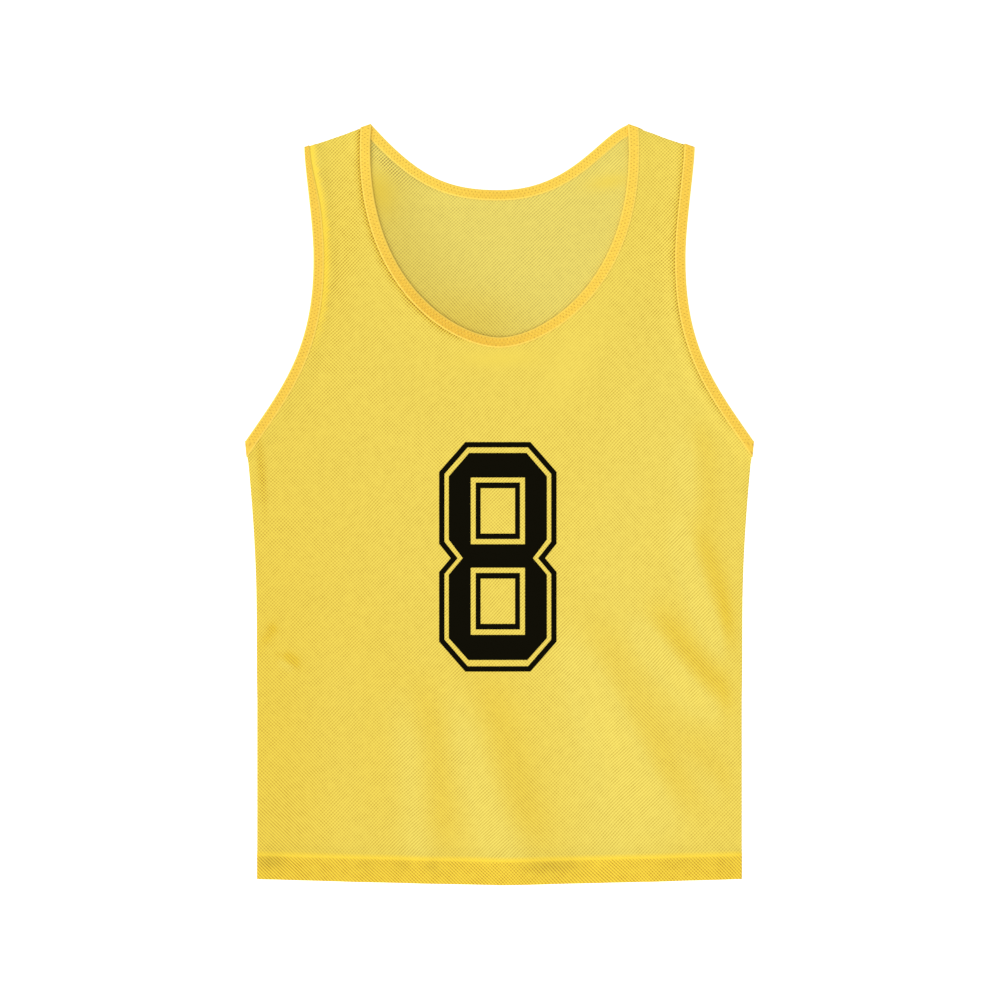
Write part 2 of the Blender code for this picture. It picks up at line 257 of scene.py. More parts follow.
def cloth(name, outer, inner, faces, finishes, painted):
    """A closed wall between a sheet's outer and inner points, walled in along its rim.

    The first finish is for the outer face and the rim, the last for the inner face. What is
    painted is four numbers a point, which the material reads.
    """
    count = len(outer)
    edges = {(a, b) for face in faces for a, b in zip(face, face[1:] + face[:1])}
    rim = [(a, b) for a, b in sorted(edges) if (b, a) not in edges]
    walls = [(b, a, a + count, b + count) for a, b in rim]
    under = [tuple(corner + count for corner in reversed(face)) for face in faces]
    mesh = bpy.data.meshes.new(name)
    mesh.from_pydata((np.vstack((outer, inner)) / 1000).tolist(), [], faces + under + walls)
    for finish in finishes:
        mesh.materials.append(finish)
    inner_finish = len(finishes) - 1
    sides = [0] * len(faces) + [inner_finish] * len(under) + [0] * len(walls)
    mesh.polygons.foreach_set("material_index", sides)
    paint = mesh.attributes.new("paint", "FLOAT_COLOR", "POINT")
    paint.data.foreach_set("color", np.vstack((painted, painted)).astype(np.float32).ravel())
    body = bmesh.new()
    body.from_mesh(mesh)
    bmesh.ops.recalc_face_normals(body, faces=body.faces)
    body.to_mesh(mesh)
    body.free()
    mesh.shade_smooth()
    mesh.set_sharp_from_angle(angle=np.radians(50))
    piece = bpy.data.objects.new(name, mesh)
    bpy.context.collection.objects.link(piece)
    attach(piece, "root")
    return piece


# Rows of points beside a binding's free edge, over the hem's raw edge and along a seam
RIM_ROWS = (-0.7, 0.3, 1.3, 2.6)
HEM_ROWS = (HEM_DEPTH - 2.4, HEM_DEPTH - 0.8, HEM_DEPTH + 0.8, HEM_DEPTH + 2.4, HEM_DEPTH + 5)
SEAM_ROWS = (0.3, 0.8, 1.6)


def panel_outline(neck_edge):
    """A panel's raw edge, from the hem's right end up its left side and round to the start."""
    rows = [BINDING_WIDTH + row for row in RIM_ROWS]
    side = LEFT_SIDE[LEFT_SIDE[:, 1] > HEM_CORNER[1] + 1]
    side = side[distance(side, LEFT_ARM.points) > rows[-1] + SEAM_SPACING]
    underarm = [LEFT_ARM.at(row)[0] for row in rows[::-1]]
    shoulder = [LEFT_ARM.at(row)[-1] for row in rows]
    middle = LEFT_SHOULDER[distance(LEFT_SHOULDER, LEFT_ARM.points) > rows[-1] + SEAM_SPACING]
    middle = middle[distance(middle, FRONT_NECK_EDGE.points) > rows[-1] + SEAM_SPACING]
    shoulder += [*middle]
    shoulder += [FRONT_NECK_EDGE.at(row)[0] for row in rows[::-1]]
    up = np.vstack((side, underarm, LEFT_ARM.at(BINDING_BEND), shoulder))
    return np.vstack((HEM_EDGE.points, up, neck_edge.at(BINDING_BEND), mirrored(up)))


def triangulated(outline, lines, spacing):
    """Fill an outline with triangles that keep to some inner lines, and evenly elsewhere."""
    rows = np.arange(outline[:, 1].min(), outline[:, 1].max(), spacing * np.cos(np.radians(30)))
    columns = np.arange(outline[:, 0].min(), outline[:, 0].max(), spacing)
    filling = [(x + spacing / 2 * (i % 2), y) for i, y in enumerate(rows) for x in columns]
    filling = np.array(filling)
    for line in (np.vstack((outline, outline[:1])), *lines):
        filling = filling[distance(filling, line) > 0.6 * spacing]
    points, edges, kept = [*outline], [], len(outline)
    for line in lines:
        edges += [(kept + i, kept + i + 1) for i in range(len(line) - 1)]
        points += [*line]
        kept += len(line)
    points += [*filling]
    found = delaunay_2d_cdt(
        [tuple(point) for point in points], edges, [list(range(len(outline)))], 1, 1e-3
    )
    order = {old: new for new, olds in enumerate(found[3]) for old in olds}
    return np.array(found[0]), [tuple(face) for face in found[2]], order


def panel(name, neck_edge, height, side, finishes, paint):
    """A front (side 1) or back (side -1), with its hem turned up between the two panels."""
    lines = [
        edge.at(edge.width + row) for edge in (LEFT_ARM, RIGHT_ARM, neck_edge) for row in RIM_ROWS
    ]
    lines += [HEM_EDGE.at(row) for row in HEM_ROWS]
    for edge in (LEFT_SIDE_EDGE, LEFT_SHOULDER_EDGE):
        inset = [edge.at(row)[1:-1] for row in SEAM_ROWS]
        lines += inset + [mirrored(line) for line in inset]
    flat, faces, order = triangulated(panel_outline(neck_edge), lines, PANEL_SPACING)
    under, turned = height(flat), seam_round(flat)
    if side > 0:
        outer, inner = under + KNIT_THICKNESS - turned, under
    else:
        outer, inner = under + turned, under + KNIT_THICKNESS
    outer, inner = raised(flat, outer), raised(flat, inner)

    # The hem: round the bend, along the start of the turn-up, and to its free edge
    previous = [order[i] for i in range(len(HEM_EDGE.points))]
    for depth, angle in (
        (0, 30), (0, 60), (0, 90), (0, 120), (0, 150), (0, 180), (HEM_DEPTH / 2, 180),
        (HEM_DEPTH, 180),
    ):
        out, up = np.sin(np.radians(angle)), side * np.cos(np.radians(angle))
        place = HEM_EDGE.at(depth)
        centre = height(place) + KNIT_THICKNESS * (side < 0) - side * AIR / 2
        outer_row = raised(place - out * HEM_BEND * HEM_EDGE.inward, centre + up * HEM_BEND)
        inner_row = raised(place - out * AIR / 2 * HEM_EDGE.inward, centre + up * AIR / 2)
        row = list(range(len(outer), len(outer) + len(place)))
        outer, inner = np.vstack((outer, outer_row)), np.vstack((inner, inner_row))
        faces += [
            (previous[i + 1], previous[i], row[i], row[i + 1]) for i in range(len(row) - 1)
        ]
        previous = row
    return cloth(name, outer, inner, faces, finishes, paint(outer[:, :2]))


SPOT_COLUMNS = ("x", "y", "turn", "length", "width", "warm", "tone", "pits", "lean")


def spots_paint(points, spots):
    """What soft oval spots add to the warmth, the tone, the pits' depth and the pits' lean."""
    painted = np.zeros((len(points), 4))
    for row in spots:
        spot = dict(zip(SPOT_COLUMNS, row))
        turn = np.radians(spot["turn"])
        way = np.array((np.cos(turn), np.sin(turn)))
        offset = points - (spot["x"], spot["y"])
        along = offset @ way / (spot["length"] / 2)
        across = offset @ (-way[1], way[0]) / (spot["width"] / 2)
        amounts = [spot[column] for column in SPOT_COLUMNS[-4:]]
        painted += bell(np.hypot(along, across))[:, None] * amounts
    return painted.T


# Painted light where light catches the open mesh in the two corners of the neck, with darker
# spots below each
BACK_SPOTS = (
    (-101, 305, -45, 40, 8, 0.0, 0.10, 1.6, 0.0),
    (-108, 282, -75, 46, 26, 0.5, -0.05, -0.7, 0.0),
    (101, 304, 28, 44, 12, 0.0, 0.06, 0.1, -0.3),
    (98, 290, 10, 40, 14, 0.5, -0.03, -0.6, 0.0),
    (-30, 165, 0, 90, 50, 0.2, 0.0, 0.1, 0.25),
)


def mesh_paint(warm, tone, pits, lean):
    """The mesh knit's paint, from what is added to the plain cloth's pits and their lean."""
    plain_depth, plain_lean = 0.5, 0.4
    return np.column_stack((warm, tone, plain_depth * (1 + pits), plain_lean + lean))


def back_paint(points):
    """The back's paint: painted shade beside the front's neck, and a line of painted shade in its
    own binding's groove.
    """
    warm, tone, pits, lean = spots_paint(points, BACK_SPOTS)
    away, step = nearest(points, FRONT_NECK_EDGE.points)
    x, y = FRONT_NECK_EDGE.points[step].T
    # Painted shade on the back beside the front's neck, warmer and darker
    painted_neck_shade = smooth((70 - x) / 90) * smooth((TOP - 25 - y) / 40)
    tone -= 0.12 * painted_neck_shade * bell(away / 40)
    warm += 0.25 * painted_neck_shade * bell(away / 40)
    # In its own binding's groove: deeper pits and a line of painted shade
    away, step = nearest(points, BACK_NECK_EDGE.at(BINDING_WIDTH))
    pits += 0.5 * BACK_NECK_EDGE.pull[step] * bell(away / 4)
    tone -= 0.16 * BACK_NECK_EDGE.pull[step] * bell((away - 0.3) / 0.8)
    return mesh_paint(warm, tone, pits, lean)


def linear(code):
    """The linear red, green, blue and alpha of an sRGB hex colour."""
    channels = np.array([int(code[i : i + 2], 16) for i in (1, 3, 5)]) / 255
    bright = ((channels + 0.055) / 1.055) ** 2.4
    return (*np.where(channels <= 0.04045, channels / 12.92, bright).tolist(), 1.0)


def add(tree, kind, inputs=None, **settings):
    """A node of a kind with its settings, each input set to a value or linked to a socket."""
    node = tree.nodes.new(kind)
    for setting, value in settings.items():
        setattr(node, setting, value)
    for socket, value in (inputs or {}).items():
        if isinstance(value, bpy.types.NodeSocket):
            tree.links.new(value, node.inputs[socket])
        else:
            node.inputs[socket].default_value = value
    return node


def sum_of(tree, operation, *values):
    """The output of a Math node on some values or sockets."""
    return add(tree, "ShaderNodeMath", dict(enumerate(values)), operation=operation).outputs[0]


def finish_on(name, roughness, sheen, gloss):
    """A new material, its tree and its shader, with the numbers that are the same all over."""
    finish = bpy.data.materials.new(name)
    finish.use_nodes = True
    tree = finish.node_tree
    shader = tree.nodes["Principled BSDF"]
    shader.inputs["Roughness"].default_value = roughness
    shader.inputs["Sheen Weight"].default_value = sheen
    shader.inputs["Sheen Roughness"].default_value = 0.5
    shader.inputs["IOR"].default_value = 1.5
    shader.inputs["Specular IOR Level"].default_value = gloss
    return finish, tree, shader


# Both diagonal rows of the mesh's holes are 2.2 mm apart
PIT_SPACING = 2.2


def mesh_knit(name, thread, pit, band_thread, band_pit):
    """Polyester mesh knit, warp knitted with small holes: a dull sheen and darker pits.

    The pits show the layer below in its shade. In the turned-up hem they show more knit, so
    that band is denser and warmer. Paint holds how far the colour goes to the band's, the
    tone, the pits' depth and how far their rows lean from one diagonal to the other.
    """
    finish, tree, shader = finish_on(name, roughness=0.75, sheen=0.03, gloss=0.3)
    painted = add(tree, "ShaderNodeAttribute", attribute_name="paint").outputs
    warm, tone, depth = add(tree, "ShaderNodeSeparateColor", {0: painted["Color"]}).outputs
    metres = add(tree, "ShaderNodeTexCoord").outputs["Object"]
    place = add(
        tree, "ShaderNodeVectorMath", {0: metres, "Scale": 1000.0}, operation="SCALE"
    ).outputs[0]
    drift = add(
        tree, "ShaderNodeTexNoise", {"Vector": place, "Scale": 0.011, "Detail": 1.0}
    ).outputs["Color"]
    drift = add(
        tree, "ShaderNodeVectorMath", {0: drift, 1: (7, 7, 0), 2: place}, operation="MULTIPLY_ADD"
    ).outputs[0]
    lean = add(
        tree, "ShaderNodeTexNoise", {"Vector": place, "Scale": 0.014, "Detail": 1.0}
    ).outputs["Fac"]
    lean = add(
        tree, "ShaderNodeMapRange",
        {0: lean, "From Min": 0.3, "From Max": 0.7, "To Min": -0.12, "To Max": 0.12},
    ).outputs[0]
    lean = add(
        tree, "ShaderNodeMath", {0: lean, 1: painted["Alpha"]}, operation="ADD", use_clamp=True
    ).outputs[0]
    # Both ways together are as strong as one alone, so that no tone drifts with the lean
    other = sum_of(tree, "SUBTRACT", 1.0, lean)
    other = sum_of(tree, "MULTIPLY", other, other)
    strength = sum_of(tree, "SQRT", sum_of(tree, "MULTIPLY_ADD", lean, lean, other))
    scale = 2 * np.pi / PIT_SPACING
    grid = add(
        tree, "ShaderNodeMapping",
        {
            "Vector": drift, "Rotation": (0, 0, np.radians(45)), "Scale": (scale, scale, scale),
        },
    ).outputs[0]
    across, up, _ = add(tree, "ShaderNodeSeparateXYZ", {0: grid}).outputs
    rows = [sum_of(tree, "COSINE", value) for value in (across, up)]
    both = add(
        tree, "ShaderNodeMix", {0: lean, 2: rows[0], 3: rows[1]}, data_type="FLOAT"
    ).outputs[0]
    pits = add(
        tree, "ShaderNodeMapRange",
        {0: sum_of(tree, "DIVIDE", both, strength), "From Min": -0.5, "From Max": 0.9},
        interpolation_type="SMOOTHSTEP",
    ).outputs[0]
    # The layer below shows unevenly through the holes
    below = add(
        tree, "ShaderNodeTexNoise", {"Vector": place, "Scale": 0.16, "Detail": 1.0}
    ).outputs["Fac"]
    below = sum_of(tree, "MULTIPLY", sum_of(tree, "ADD", below, 0.5), depth)
    dark = sum_of(tree, "MULTIPLY", pits, below)
    colours = [
        add(
            tree, "ShaderNodeMix", {0: dark, 6: linear(light), 7: linear(deep)}, data_type="RGBA"
        ).outputs[2]
        for light, deep in ((thread, pit), (band_thread, band_pit))
    ]
    colour = add(
        tree, "ShaderNodeMix", {0: warm, 6: colours[0], 7: colours[1]}, data_type="RGBA"
    ).outputs[2]
    mottle = add(
        tree, "ShaderNodeTexNoise", {"Vector": place, "Scale": 0.02, "Detail": 3.0}
    ).outputs["Fac"]
    mottle = add(
        tree, "ShaderNodeMapRange",
        {0: mottle, "From Min": 0.3, "From Max": 0.7, "To Min": 0.99, "To Max": 1.01},
    ).outputs[0]
    # The paint's tone, which holds painted light and shade, and a faint random mottle scale the
    # colour
    value = sum_of(tree, "ADD", mottle, tone)
    colour = add(
        tree, "ShaderNodeVectorMath", {0: colour, "Scale": value}, operation="SCALE"
    ).outputs[0]
    tree.links.new(colour, shader.inputs["Base Color"])
    bump = add(
        tree, "ShaderNodeBump",
        {"Height": sum_of(tree, "SUBTRACT", 1.0, pits), "Strength": 0.35, "Distance": 0.0003},
    )
    tree.links.new(bump.outputs[0], shader.inputs["Normal"])
    return finish


MESH_FACE = mesh_knit("polyester_mesh_knit", "#E0CC59", "#A0801E", "#E3C434", "#A47404")
# The knit's reverse side, its thread and pits also darker and greyer as painted shade, for the
# inside that the deep neck shows
MESH_REVERSE_AND_SHADE = mesh_knit("mesh_knit_reverse_and_painted_shade", "#DCCA5E", "#96823A", "#E3C434", "#A47404")

back = panel("back", BACK_NECK_EDGE, back_height, -1, (MESH_FACE, MESH_REVERSE_AND_SHADE), back_paint)
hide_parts("back_panel")


# The front: the same mesh knit cut with a deeper neck. It lies on the back and its bindings, and
# is laid out by hand, so soft folds stay in it towards the hem and below the left armhole.
FOLD_COLUMNS = ("x", "y", "turn", "length", "width", "height", "bow")
FOLDS = (
    (2, -242, 107, 240, 26, 3.2, 6),
    (-70, -250, 95, 220, 20, 2.4, -4),
    (-112, -215, 92, 300, 34, 1.0, 10),
    (191, -72, -71, 170, 14, 2.6, -5),
    (170, -141, -50, 150, 16, 2.8, -6),
    (122, -194, -62, 270, 24, 2.8, -8),
    (184, -238, -48, 90, 14, 0.7, 0),
    (181, 20, 95, 130, 14, 1.3, 3),
    (-209, -119, 62, 26, 5, 0.8, 0),
    (-189, -141, -30, 20, 5, 0.7, 0),
)
# Where the hem's stitching draws it in: the middle, width and height of each soft pucker
PUCKERS = (
    (-214, 9, 0.7), (-130, 11, 0.8), (-68, 8, 0.5), (18, 24, 1.5), (88, 7, 0.5), (140, 14, 1.1),
    (196, 10, 0.5),
)
# Where the turned-up layers lie in line, so that the band is darker below its ridge
HEM_SHADES = (
    (-205, 12, 0.20), (-117, 12, 0.07), (-88, 10, 0.10), (-61, 7, 0.12), (47, 28, 0.15),
    (90, 10, -0.05), (126, 8, 0.03), (166, 22, 0.07), (204, 9, 0.05),
)


def fold_height(points):
    """How high the soft folds lift the front, fading out towards its bound edges."""
    calm_edge, calm_seam = 45.0, 22.0
    height = np.zeros(len(points))
    for row in FOLDS:
        fold = dict(zip(FOLD_COLUMNS, row))
        turn = np.radians(fold["turn"])
        way = np.array((np.cos(turn), np.sin(turn)))
        offset = points - (fold["x"], fold["y"])
        along = 2 * (offset @ way) / fold["length"]
        across = offset @ (-way[1], way[0]) - fold["bow"] * (1 - along**2)
        fade = smooth(1.5 * (1 - np.abs(along)))
        height += fold["height"] * fade * bell(across / fold["width"])
    from_edge = distance(points, LEFT_ARM.line, RIGHT_ARM.line, FRONT_NECK_EDGE.line)
    from_seam = distance(points, *SEAMS)
    return height * smooth(from_edge / calm_edge) * smooth(from_seam / calm_seam)


def front_height(points):
    """The front's underside: on the back, its bindings and both turn-ups, with its folds."""
    crossing = 8.0
    armholes = near(points, (LEFT_ARM, RIGHT_ARM), BINDING_WIDTH)
    over_back_neck = near(points, (BACK_NECK_EDGE,), BINDING_WIDTH + crossing)
    front_neck = near(points, (FRONT_NECK_EDGE,), BINDING_WIDTH)
    hem = near(points, (HEM_EDGE,), HEM_DEPTH)
    layers = 1 + 2 * np.maximum(armholes, over_back_neck) + np.maximum(armholes, front_neck)
    height = LAYER * (layers + 2 * hem) + fold_height(points) + ripple(points, 60, 0.12, 3)
    above_hem = distance(points, HEM_EDGE.line) - HEM_DEPTH
    for x, width, rise in PUCKERS:
        height += rise * bell((points[:, 0] - x) / width) * smooth(1 - above_hem / 45)
    height += 0.55 * bell((above_hem - 1) / 1.8)
    for edge in (LEFT_ARM, RIGHT_ARM, FRONT_NECK_EDGE):
        height -= groove(points, edge)
    return height


# Spots of painted shade and painted light: the lower right side lies away from the light, and the
# left side towards it, and the two small creases are darker. The spots also change the pits and
# their lean.
FRONT_SPOTS = (
    (0, 131, 2, 70, 17, 0.2, -0.05, -0.8, 0.0),
    (-225, -230, 90, 620, 230, 0.4, -0.03, 0.0, 0.1),
    (105, -235, 92, 270, 80, -0.30, 0.02, 0.0, 0.0),
    (160, 90, 70, 320, 110, -0.15, 0.01, 0.0, 0.0),
    (-214, 30, 94, 62, 7, 0.4, -0.03, 0.8, 0.0),
    (-209, -119, 62, 24, 8, 0.5, -0.05, 0.3, 0.2),
    (-189, -141, -30, 20, 8, 0.5, -0.05, 0.2, 0.2),
    (60, 120, 60, 90, 40, 0.0, 0.0, -0.35, -0.1),
    (150, 225, 80, 170, 50, 0.0, 0.03, 0.35, 0.05),
    (-150, 225, 80, 190, 50, 0.1, 0.04, 0.45, -0.05),
    (-190, -290, 90, 90, 60, 0.0, 0.0, 0.1, 0.4),
)


def front_paint(points):
    """The front's paint, warmest in the turned-up hem.

    The side of a fold that turns from the light has painted shade, warmer and darker, and the
    side towards it painted light, and its pits lean the other way. Beside a pulled binding the
    pits are deep and dark, with a line of painted shade in the groove. A painted highlight runs
    along the hem's ridge.
    """
    plain_warmth, steep = 0.25, 0.8
    warm, tone, pits, lean = spots_paint(points, FRONT_SPOTS)
    warm += plain_warmth
    # Painted shade on the side of each fold that turns from the light, and painted light on the
    # side towards it
    toward_light = np.array((-1.5, -1.5))
    slope = fold_height(points - toward_light) - fold_height(points + toward_light)
    turned = np.clip(slope / steep, -1, 1)
    warm -= 0.7 * turned
    tone += 0.02 * turned
    lean -= 0.3 * turned
    above_hem = distance(points, HEM_EDGE.line) - HEM_DEPTH
    hem = smooth(0.5 - (above_hem - 2.6) / 1.2)
    # A painted highlight along the hem's ridge, where the pits close up
    ridge = bell((above_hem - 1.4) / 1.5)
    warm = warm * (1 - hem) + hem
    tone += 0.03 * hem + 0.10 * ridge
    pits += 0.4 * hem - 1.1 * ridge
    lean += 0.3 * hem
    for x, width, shade in HEM_SHADES:
        across = bell((points[:, 0] - x) / width)
        tone -= shade * across * bell((above_hem + 4.5) / 6) * hem
    # A line of painted shade in the groove beside each pulled binding, with deep dark pits
    for edge in (LEFT_ARM, FRONT_NECK_EDGE):
        away, step = nearest(points, edge.at(BINDING_WIDTH))
        pits += 1.5 * edge.pull[step] * bell(away / 3)
        tone -= 0.14 * edge.pull[step] * bell((away - 0.3) / 0.8)
        warm += 0.6 * edge.pull[step] * bell(away / 2.5)
    # Painted shade in the right armhole binding's groove
    away, step = nearest(points, RIGHT_ARM.at(RIGHT_ARM.width))
    tone -= 0.08 * RIGHT_ARM.pull[step] * bell((away - 0.3) / 0.8)
    away, step = nearest(points, RIGHT_ARM.points)
    strip = smooth(RIGHT_ARM.width[step] + 6 - away) * smooth(2.2 - RIGHT_ARM.run[step] / 90)
    warm += 0.5 * strip
    tone += 0.09 * strip
    pits -= 0.8 * strip
    return mesh_paint(warm, tone, pits, lean)


front = panel("front", FRONT_NECK_EDGE, front_height, 1, (MESH_FACE, MESH_REVERSE_AND_SHADE), front_paint)
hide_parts("front_panel")


# The bindings: one strip of close rib knit round the neck and one round each armhole. Each is
# folded over the raw edge and caught with a twin row of stitches, which draws it in.
STITCH_ROWS = (2.6, 5.15)
STITCH_LENGTH = 3.2


def leg_rise(depth, run):
    """How the shown leg of a binding rises between its stitch rows and dips along them."""
    crown, dip, dip_width, edge_drop, edge_width = 0.12, 0.26, 0.6, 0.30, 1.1
    rise = crown * np.ones_like(run)
    for row in STITCH_ROWS:
        pucker = 0.75 + 0.25 * np.cos(2 * np.pi * run / STITCH_LENGTH)
        rise -= dip * bell((depth - row) / dip_width) * pucker
    return rise - edge_drop * smooth((depth - BINDING_WIDTH + edge_width) / edge_width)


def binding(name, edge, height, side, warmth, finish):
    """Half a binding, folded round a panel's raw edge and over the stack at each seam."""
    middle = KNIT_THICKNESS / 2
    outside, inside = BINDING_BEND, middle + AIR
    leg = (9.5, 9.2, 8.6, 7.6, 6.6, 5.7, 5.15, 4.6, 3.9, 3.2, 2.6, 2.0, 1.5)
    bend = (0, 30, 60, 90, 120, 150, 180)
    section = [(depth, 0) for depth in leg] + [(BINDING_BEND, angle) for angle in bend]
    section += [(depth, 180) for depth in leg[::-1]]
    narrowing = edge.width / BINDING_WIDTH
    outer, inner, tape = [], [], []
    for depth, angle in section:
        out, up = np.sin(np.radians(angle)), side * np.cos(np.radians(angle))
        depth_here = np.where(depth > BINDING_BEND, depth * narrowing, depth)
        level = height(edge.at(depth_here)) + middle
        # A leg's rise is on its shown face, so it never dips into the panel or the table
        top_leg = depth > BINDING_BEND and angle == (0 if side > 0 else 180)
        rise = leg_rise(depth, edge.run) if top_leg else 0
        # The lowest leg lies on the table, and never below it
        outer_level = np.maximum(level + up * outside + rise, 0)
        outer.append(raised(edge.at(depth_here - out * outside), outer_level))
        inner.append(raised(edge.at(depth_here - out * inside), level + up * inside))
        across = np.full(len(edge.run), depth - out * outside)
        tape.append(np.column_stack((edge.run, across, warmth, warmth)))
    rows, stations = len(outer), len(edge.points)
    outer, inner, tape = (
        np.array(part).reshape(rows * stations, -1) for part in (outer, inner, tape)
    )
    faces = [
        (corner, corner + 1, corner + 1 + stations, corner + stations)
        for r in range(rows - 1)
        for corner in range(r * stations, r * stations + stations - 1)
    ]

    # Over the seam at each end, the outer leg turns down to the middle of the stack
    leg_rows = len(leg) + 3
    split = (LAYER * 6 - AIR + side * AIR) / 2
    for end in (0, stations - 1):
        seam = unit(edge.inward[end])
        away = np.array((-seam[1], seam[0]))
        away *= np.sign(away @ (edge.points[end] - edge.points[1 if end == 0 else stations - 2]))
        covered = [r * stations + end for r in range(leg_rows)]
        previous = covered
        for angle in (30, 60, 90, None):
            reach = np.sin(np.radians(angle or 90))
            drop = side * (1 - np.cos(np.radians(angle or 90)))
            more_outer = outer[covered] + (*(LAYER * reach * away), -LAYER * drop)
            more_inner = inner[covered] + (*(AIR * reach * away), -AIR * drop)
            if angle is None:
                more_outer[:, 2] = more_inner[:, 2] = split
            row = list(range(len(outer), len(outer) + leg_rows))
            outer, inner = np.vstack((outer, more_outer)), np.vstack((inner, more_inner))
            tape = np.vstack((tape, tape[covered]))
            for r in range(leg_rows - 1):
                face = (previous[r], row[r], row[r + 1], previous[r + 1])
                faces.append(face if end else face[::-1])
            previous = row
    piece = cloth(name, outer, inner, faces, (finish,), tape)
    return piece


def rib_knit(name, face, warm_face, hollow, fold):
    """Polyester rib knit: close and warm, with rows of small needle holes along the tape.

    Paint holds where a point lies along the tape and across it, in millimetres, and how warm
    it is there. Both edges are lighter.
    """
    finish, tree, shader = finish_on(name, roughness=0.7, sheen=0.04, gloss=0.3)
    painted = add(tree, "ShaderNodeAttribute", attribute_name="paint").outputs["Color"]
    along, across, warm = add(tree, "ShaderNodeSeparateColor", {0: painted}).outputs
    wander = add(
        tree, "ShaderNodeTexNoise", {"Vector": painted, "Scale": 0.35, "Detail": 1.0}
    ).outputs["Fac"]
    steps = sum_of(tree, "COSINE", sum_of(tree, "MULTIPLY", along, 2 * np.pi / STITCH_LENGTH))
    column_turn = np.pi / (STITCH_ROWS[1] - STITCH_ROWS[0])
    columns = sum_of(
        tree, "COSINE",
        sum_of(tree, "MULTIPLY_ADD", across, column_turn, -column_turn * STITCH_ROWS[0]),
    )
    holes = add(
        tree, "ShaderNodeMapRange",
        {0: sum_of(tree, "MULTIPLY", steps, columns), "From Min": 0.25, "From Max": 0.95},
        interpolation_type="SMOOTHSTEP",
    ).outputs[0]
    deep = sum_of(tree, "MULTIPLY", holes, sum_of(tree, "MULTIPLY_ADD", wander, 1.8, -0.3))
    colours = [linear(face), linear(warm_face)]
    colour = add(
        tree, "ShaderNodeMix", {0: warm, 6: colours[0], 7: colours[1]}, data_type="RGBA"
    ).outputs[2]
    colour = add(
        tree, "ShaderNodeMix", {0: deep, 6: colour, 7: linear(hollow)}, data_type="RGBA"
    ).outputs[2]
    lighter_edges = add(
        tree, "ShaderNodeMapRange",
        {0: sum_of(tree, "ABSOLUTE", sum_of(tree, "SUBTRACT", across, BINDING_WIDTH / 2)),
         "From Min": BINDING_WIDTH / 2 - 2, "From Max": BINDING_WIDTH / 2},
        interpolation_type="SMOOTHSTEP",
    ).outputs[0]
    colour = add(
        tree, "ShaderNodeMix", {0: lighter_edges, 6: colour, 7: linear(fold)}, data_type="RGBA"
    ).outputs[2]
    place = add(tree, "ShaderNodeTexCoord").outputs["Object"]
    mottle = add(
        tree, "ShaderNodeTexNoise", {"Vector": place, "Scale": 420.0, "Detail": 2.0}
    ).outputs["Fac"]
    mottle = add(
        tree, "ShaderNodeMapRange",
        {0: mottle, "From Min": 0.3, "From Max": 0.7, "To Min": 0.95, "To Max": 1.05},
    ).outputs[0]
    colour = add(
        tree, "ShaderNodeVectorMath", {0: colour, "Scale": mottle}, operation="SCALE"
    ).outputs[0]
    tree.links.new(colour, shader.inputs["Base Color"])
    ribs = sum_of(tree, "COSINE", sum_of(tree, "MULTIPLY", across, 2 * np.pi / 1.1))
    relief = sum_of(tree, "SUBTRACT", sum_of(tree, "MULTIPLY", ribs, 0.25), holes)
    bump = add(
        tree, "ShaderNodeBump", {"Height": relief, "Strength": 0.4, "Distance": 0.00025}
    )
    tree.links.new(bump.outputs[0], shader.inputs["Normal"])
    return finish


RIB_KNIT = rib_knit("polyester_rib_knit", "#E6C143", "#DBAD32", "#B68B26", "#EBCB55")

for half, height, side, neck_edge, strength, middle, spread in (
    ("back", back_height, -1, BACK_NECK_EDGE, 0.45, 0.5, 0.12),
    ("front", front_height, 1, FRONT_NECK_EDGE, 1.1, 0.59, 0.18),
):
    for place, edge in (
        ("neck", neck_edge), ("left_armhole", LEFT_ARM), ("right_armhole", RIGHT_ARM)
    ):
        warmth = np.full(len(edge.run), 0.35)
        if place == "neck":
            warmth = strength * bell((edge.run / edge.run[-1] - middle) / spread)
        piece = binding(f"{place}_tape_{half}", edge, height, side, warmth, RIB_KNIT)
        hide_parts(f"{place}_binding_{half}")


# The sewing: polyester thread in a lockstitch, two rows along the top of each binding. Each
# stitch is a short lozenge of thread that bites into the knit at its ends.
# A stitch's rings: how far along it each lies, its size and its lift
STITCH_BOW = ((0.1, 0.3, -0.1), (0.3, 1, 0.12), (0.7, 1, 0.12), (0.9, 0.3, -0.1))


def stitches(name, rows, finish):
    """One mesh of stitches along rows of points, which are one stitch apart."""
    body = bmesh.new()
    thread, sides = 0.2, 6
    for row in rows:
        for start, end in zip(row[:-1], row[1:]):
            way = unit(end - start)
            flat = unit(np.cross(way, (0, 0, 1)))
            rings = []
            for share, size, lift in STITCH_BOW:
                centre = start + share * (end - start) + (0, 0, lift)
                turns = np.arange(sides) * 2 * np.pi / sides
                ring = [
                    centre + thread * size * (np.cos(t) * flat + np.sin(t) * np.array((0, 0, 1)))
                    for t in turns
                ]
                rings.append([body.verts.new(point / 1000) for point in ring])
            for low, high in zip(rings[:-1], rings[1:]):
                for i in range(sides):
                    j = (i + 1) % sides
                    body.faces.new((low[i], low[j], high[j], high[i]))
            body.faces.new(rings[0][::-1])
            body.faces.new(rings[-1])
    mesh = bpy.data.meshes.new(name)
    bmesh.ops.recalc_face_normals(body, faces=body.faces)
    body.to_mesh(mesh)
    body.free()
    mesh.shade_smooth()
    mesh.materials.append(finish)
    piece = bpy.data.objects.new(name, mesh)
    bpy.context.collection.objects.link(piece)
    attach(piece, "root")
    return piece


def spaced(line, step):
    """Points one step apart along a line of points."""
    run = np.concatenate(([0], np.cumsum(np.linalg.norm(np.diff(line, axis=0), axis=1))))
    places = np.linspace(0, run[-1], round(run[-1] / step) + 1)
    return np.column_stack([np.interp(places, run, part) for part in line.T])


